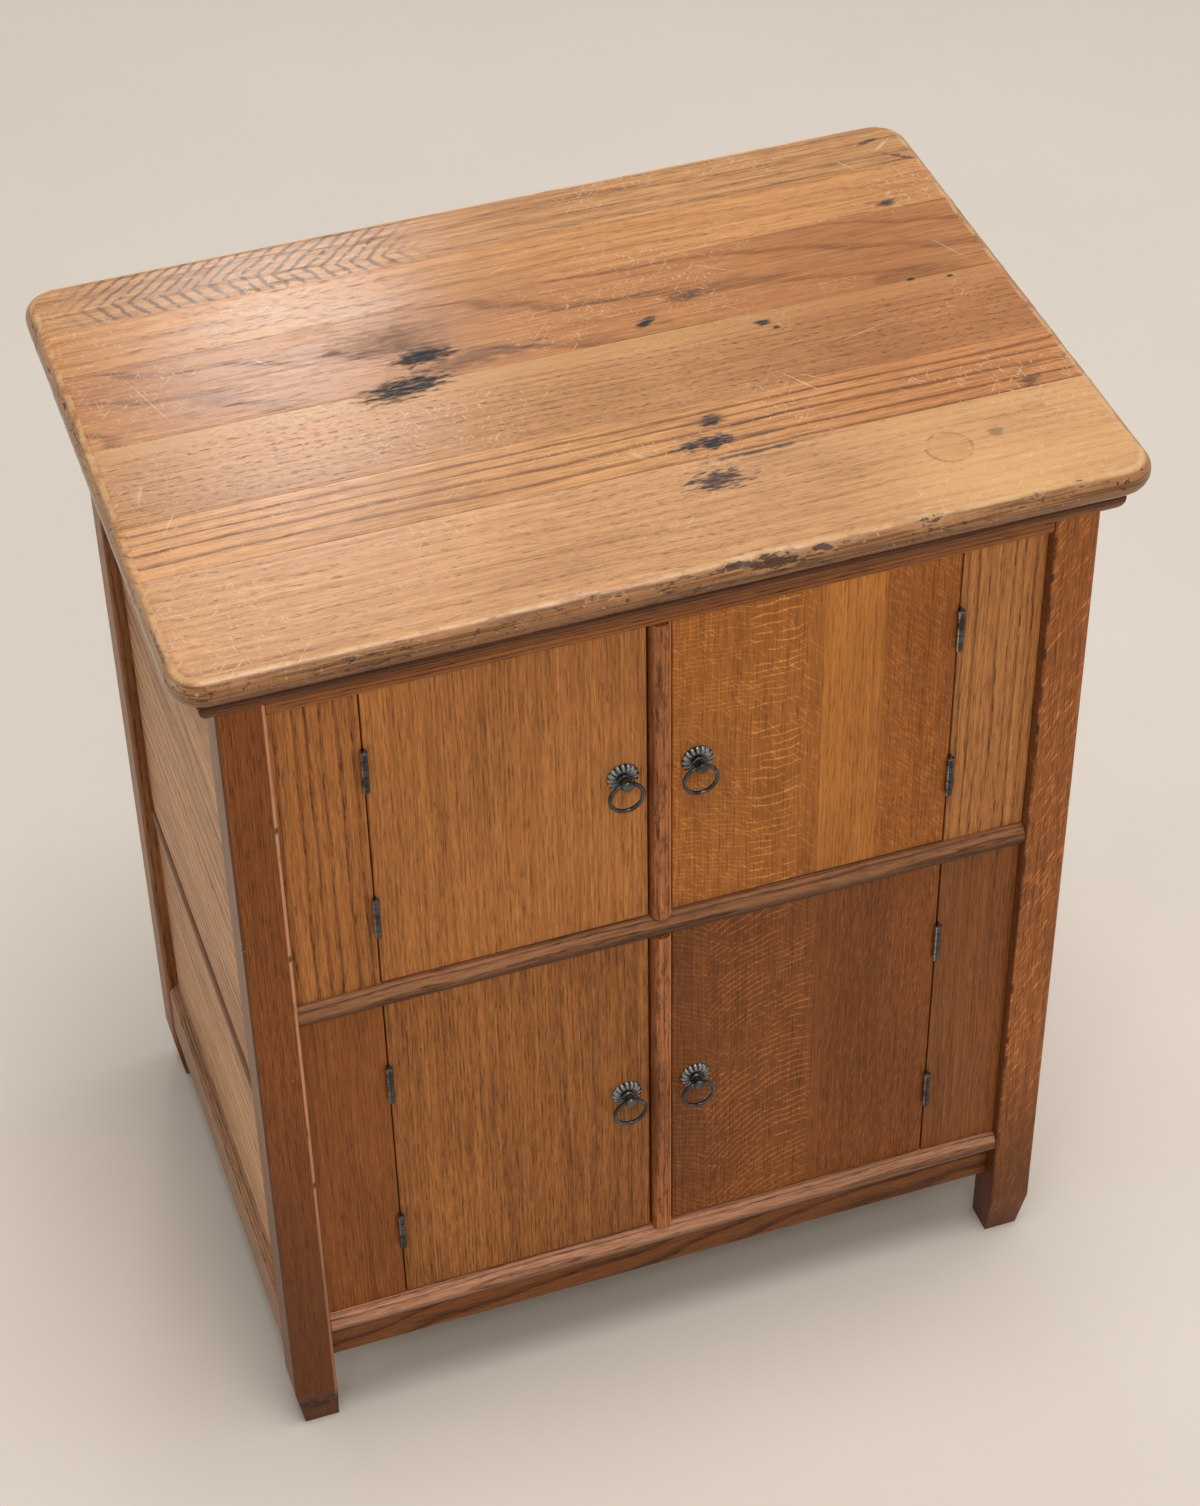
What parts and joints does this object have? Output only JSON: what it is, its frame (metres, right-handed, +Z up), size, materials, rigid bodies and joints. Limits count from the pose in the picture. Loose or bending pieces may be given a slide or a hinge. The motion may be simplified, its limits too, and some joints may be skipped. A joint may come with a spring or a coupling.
{
  "type": "oak cupboard",
  "caption": "Free-standing oak cupboard on square posts, with a rolled-edge plank top, hinged front doors with swinging ring pulls, panelled sides and shelved space inside.",
  "frame": {"origin": "middle of the bounding box's plan, on the floor under the feet", "axes": "+X to the right seen from the front, +Y from the doors to the back, +Z up"},
  "size_m": [0.73, 0.504, 0.854],
  "materials": {
    "oak_top": "worn wax polish",
    "oak_moulding": "worn dark polish",
    "oak_posts": "worn dark polish",
    "oak_doors": "satin polish",
    "oak_panels": "satin polish",
    "oak_sides": "dull, faded polish",
    "inner_wood": "bare, dull",
    "dark_iron": "blackened, satin",
    "hinge_steel": "darkened, satin",
    "catch_brass": "dull"
  },
  "bodies": {
    "carcass": {"back_boards": "inner_wood", "back_rails": "inner_wood", "cabinet_floor": "inner_wood", "centre_beads": "oak_moulding", "centre_stile": "inner_wood", "cleats": "inner_wood", "fixed_panel_lower_left": "oak_panels", "fixed_panel_lower_right": "oak_panels", "fixed_panel_upper_left": "oak_panels", "fixed_panel_upper_right": "oak_panels", "front_apron": "oak_moulding", "front_bottom_rail": "oak_moulding", "front_mid_rail": "oak_moulding", "front_top_rail": "oak_moulding", "glue_blocks": "inner_wood", "hinge_fixed_leaves": "hinge_steel", "hinge_pins": "hinge_steel", "middle_shelf": "inner_wood", "post_back_left": "oak_posts", "post_back_right": "oak_posts", "post_front_left": "oak_posts", "post_front_right": "oak_posts", "side_panels_left": "oak_sides", "side_panels_right": "oak_sides", "side_rails_left": "oak_sides", "side_rails_right": "oak_sides", "top_board_1": "oak_top", "top_board_2": "oak_top", "top_board_3": "oak_top", "top_board_4": "oak_top", "top_board_5": "oak_top", "top_board_6": "oak_top", "top_frame_back": "inner_wood", "top_moulding_front": "oak_moulding", "top_moulding_left": "oak_moulding", "top_moulding_right": "oak_moulding"},
    "door_upper_left": {"door_upper_left": "oak_doors", "hinge_door_leaves_upper_left": "hinge_steel", "pull_rosette_upper_left": "dark_iron", "pull_boss_upper_left": "dark_iron", "ball_catch_upper_left": "catch_brass"},
    "ring_upper_left": {"pull_ring_upper_left": "dark_iron"},
    "door_upper_right": {"door_upper_right": "oak_doors", "hinge_door_leaves_upper_right": "hinge_steel", "pull_rosette_upper_right": "dark_iron", "pull_boss_upper_right": "dark_iron", "ball_catch_upper_right": "catch_brass"},
    "ring_upper_right": {"pull_ring_upper_right": "dark_iron"},
    "door_lower_left": {"door_lower_left": "oak_doors", "hinge_door_leaves_lower_left": "hinge_steel", "pull_rosette_lower_left": "dark_iron", "pull_boss_lower_left": "dark_iron", "ball_catch_lower_left": "catch_brass"},
    "ring_lower_left": {"pull_ring_lower_left": "dark_iron"},
    "door_lower_right": {"door_lower_right": "oak_doors", "hinge_door_leaves_lower_right": "hinge_steel", "pull_rosette_lower_right": "dark_iron", "pull_boss_lower_right": "dark_iron", "ball_catch_lower_right": "catch_brass"},
    "ring_lower_right": {"pull_ring_lower_right": "dark_iron"}
  },
  "joints": [
    {"name": "door_upper_left_hinge", "type": "hinge", "parent": "carcass", "child": "door_upper_left", "pos_m": [-0.22949, -0.2161, 0.64495], "axis": [0, 0, -1], "range_deg": [0, 170]},
    {"name": "door_upper_right_hinge", "type": "hinge", "parent": "carcass", "child": "door_upper_right", "pos_m": [0.22949, -0.2161, 0.64495], "axis": [0, 0, 1], "range_deg": [0, 170]},
    {"name": "door_lower_left_hinge", "type": "hinge", "parent": "carcass", "child": "door_lower_left", "pos_m": [-0.22949, -0.2161, 0.29999], "axis": [0, 0, -1], "range_deg": [0, 170]},
    {"name": "door_lower_right_hinge", "type": "hinge", "parent": "carcass", "child": "door_lower_right", "pos_m": [0.22949, -0.2161, 0.29999], "axis": [0, 0, 1], "range_deg": [0, 170]},
    {"name": "ring_upper_left_swing", "type": "hinge", "parent": "door_upper_left", "child": "ring_upper_left", "pos_m": [-0.0355, -0.2224, 0.64495], "axis": [-1, 0, 0], "range_deg": [-12, 165]},
    {"name": "ring_upper_right_swing", "type": "hinge", "parent": "door_upper_right", "child": "ring_upper_right", "pos_m": [0.0229, -0.2224, 0.64495], "axis": [-1, 0, 0], "range_deg": [-12, 165]},
    {"name": "ring_lower_left_swing", "type": "hinge", "parent": "door_lower_left", "child": "ring_lower_left", "pos_m": [-0.0355, -0.2224, 0.29999], "axis": [-1, 0, 0], "range_deg": [-12, 165]},
    {"name": "ring_lower_right_swing", "type": "hinge", "parent": "door_lower_right", "child": "ring_lower_right", "pos_m": [0.0229, -0.2224, 0.29999], "axis": [-1, 0, 0], "range_deg": [-12, 165]}
  ]
}
